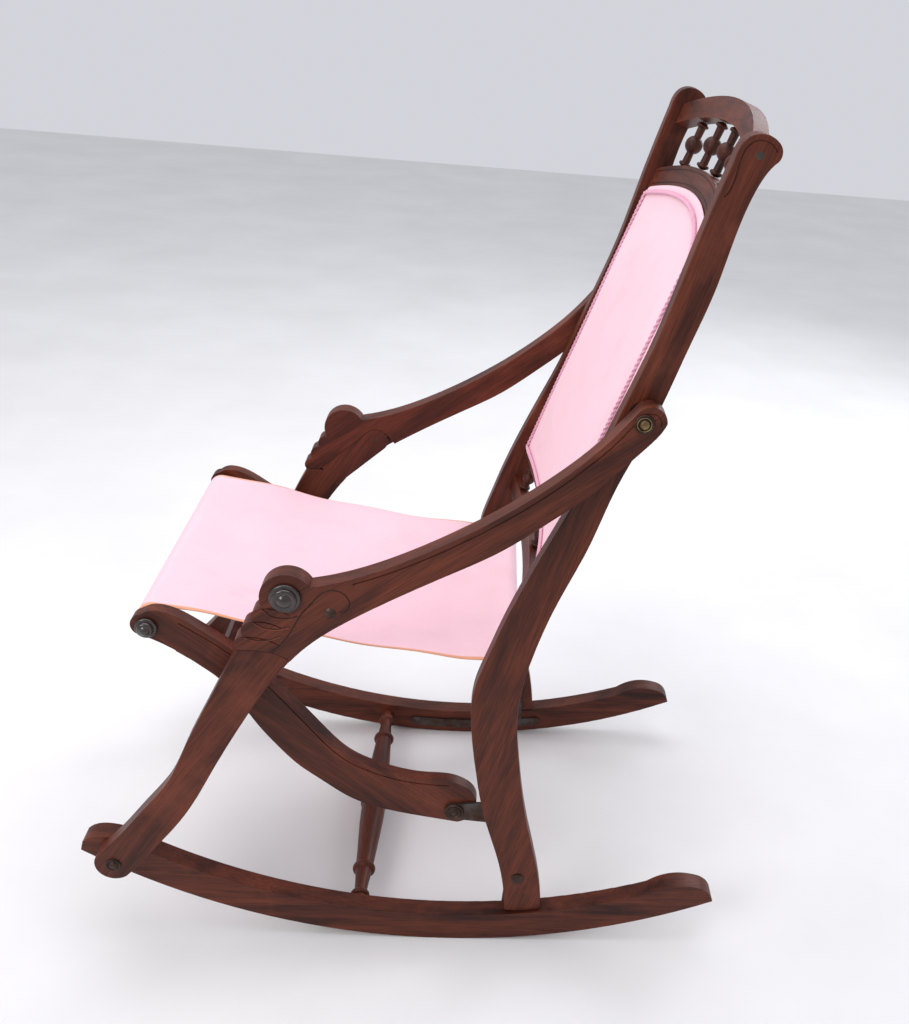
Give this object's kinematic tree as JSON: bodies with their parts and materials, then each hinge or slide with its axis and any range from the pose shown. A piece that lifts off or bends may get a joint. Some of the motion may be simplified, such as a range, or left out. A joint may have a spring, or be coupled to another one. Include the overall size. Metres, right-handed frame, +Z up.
{
  "type": "folding sling-seat rocking chair",
  "caption": "Folding wooden rocker on curved runners, with a sling cloth seat, an upholstered back between turned spindles, curved crossing seat rails and scallop-headed arms.",
  "frame": {"origin": "middle of the chair on the floor it rocks on, under the centre of its bounding box", "axes": "+X from the front of the seat to the back, +Y across the chair to the sitter's right, +Z up"},
  "size_m": [0.7585, 0.509, 0.9895],
  "materials": {
    "stained_wood": "dark red-brown stain under worn varnish",
    "dark_turned_wood": "near-black polished turnings",
    "iron_strap": "dark, slightly rusted",
    "rivet_brass": "dulled",
    "sling_cloth": "salmon-pink velvet-like upholstery cloth",
    "lining_cloth": "plain woven lining"
  },
  "bodies": {
    "runner_base": {"runner_left": "stained_wood", "runner_right": "stained_wood", "floor_stretcher": "stained_wood", "hinge_strap_left": "iron_strap", "hinge_strap_right": "iron_strap", "strap_bolt_front_left": "rivet_brass", "strap_bolt_front_right": "rivet_brass", "strap_bolt_rear_left": "rivet_brass", "strap_bolt_rear_right": "rivet_brass"},
    "back_frame": {"post_left": "stained_wood", "post_right": "stained_wood", "crest_rail": "stained_wood", "upper_rail": "stained_wood", "panel_rail": "stained_wood", "bottom_rail": "stained_wood", "rear_roller": "stained_wood", "back_panel": "sling_cloth", "back_lining": "lining_cloth", "crest_spindle_1": "stained_wood", "crest_spindle_2": "stained_wood", "crest_spindle_3": "stained_wood", "crest_spindle_4": "stained_wood", "crest_spindle_5": "stained_wood", "gallery_spindle_1": "stained_wood", "gallery_spindle_2": "stained_wood", "gallery_spindle_3": "stained_wood", "gallery_spindle_4": "stained_wood", "gallery_spindle_5": "stained_wood", "foot_pin_left": "rivet_brass", "foot_pin_right": "rivet_brass", "arm_bolt_left": "rivet_brass", "arm_bolt_right": "rivet_brass", "seat_lug_left": "iron_strap", "seat_lug_right": "iron_strap", "seat_pin_left": "rivet_brass", "seat_pin_right": "rivet_brass", "scroll_plug_left": "stained_wood", "scroll_plug_right": "stained_wood", "lug_screw_upper_left": "rivet_brass", "lug_screw_upper_right": "rivet_brass", "lug_screw_lower_left": "rivet_brass", "lug_screw_lower_right": "rivet_brass"},
    "seat_frame": {"seat_rail_left": "stained_wood", "seat_rail_right": "stained_wood", "front_roller": "stained_wood", "seat_cross_rail": "stained_wood", "roller_button_left": "dark_turned_wood", "roller_button_right": "dark_turned_wood", "seat_sling": "sling_cloth"},
    "arm_left_link": {"arm_left": "stained_wood", "head_button_left": "dark_turned_wood", "knee_rivet_left": "rivet_brass"},
    "leg_left_link": {"leg_left": "stained_wood", "toe_rivet_left": "rivet_brass"},
    "arm_right_link": {"arm_right": "stained_wood", "head_button_right": "dark_turned_wood", "knee_rivet_right": "rivet_brass"},
    "leg_right_link": {"leg_right": "stained_wood", "toe_rivet_right": "rivet_brass"}
  },
  "joints": [
    {"name": "back_fold", "type": "hinge", "parent": "runner_base", "child": "back_frame", "pos_m": [0.1333, 0, 0.0988], "axis": [0, -1, 0], "range_deg": [0, 35]},
    {"name": "seat_tilt", "type": "hinge", "parent": "back_frame", "child": "seat_frame", "pos_m": [0.0518, 0, 0.1831], "axis": [0, 1, 0], "range_deg": [0, 38], "deforming": ["seat_sling"]},
    {"name": "arm_left_swing", "type": "hinge", "parent": "back_frame", "child": "arm_left_link", "pos_m": [0.2145, -0.2315, 0.7119], "axis": [0, 1, 0], "range_deg": [0, 56.7]},
    {"name": "leg_left_fold", "type": "hinge", "parent": "arm_left_link", "child": "leg_left_link", "pos_m": [-0.0861, -0.226, 0.4825], "axis": [0, -1, 0], "range_deg": [0, 81.9]},
    {"name": "arm_right_swing", "type": "hinge", "parent": "back_frame", "child": "arm_right_link", "pos_m": [0.2145, 0.2315, 0.7119], "axis": [0, 1, 0], "range_deg": [0, 56.7]},
    {"name": "leg_right_fold", "type": "hinge", "parent": "arm_right_link", "child": "leg_right_link", "pos_m": [-0.0861, 0.226, 0.4825], "axis": [0, -1, 0], "range_deg": [0, 81.9]}
  ],
  "couplings": [
    {"joint": "arm_left_swing", "follows": "back_fold", "ratio": 1.62},
    {"joint": "leg_left_fold", "follows": "back_fold", "ratio": 2.34},
    {"joint": "arm_right_swing", "follows": "back_fold", "ratio": 1.62},
    {"joint": "leg_right_fold", "follows": "back_fold", "ratio": 2.34}
  ]
}
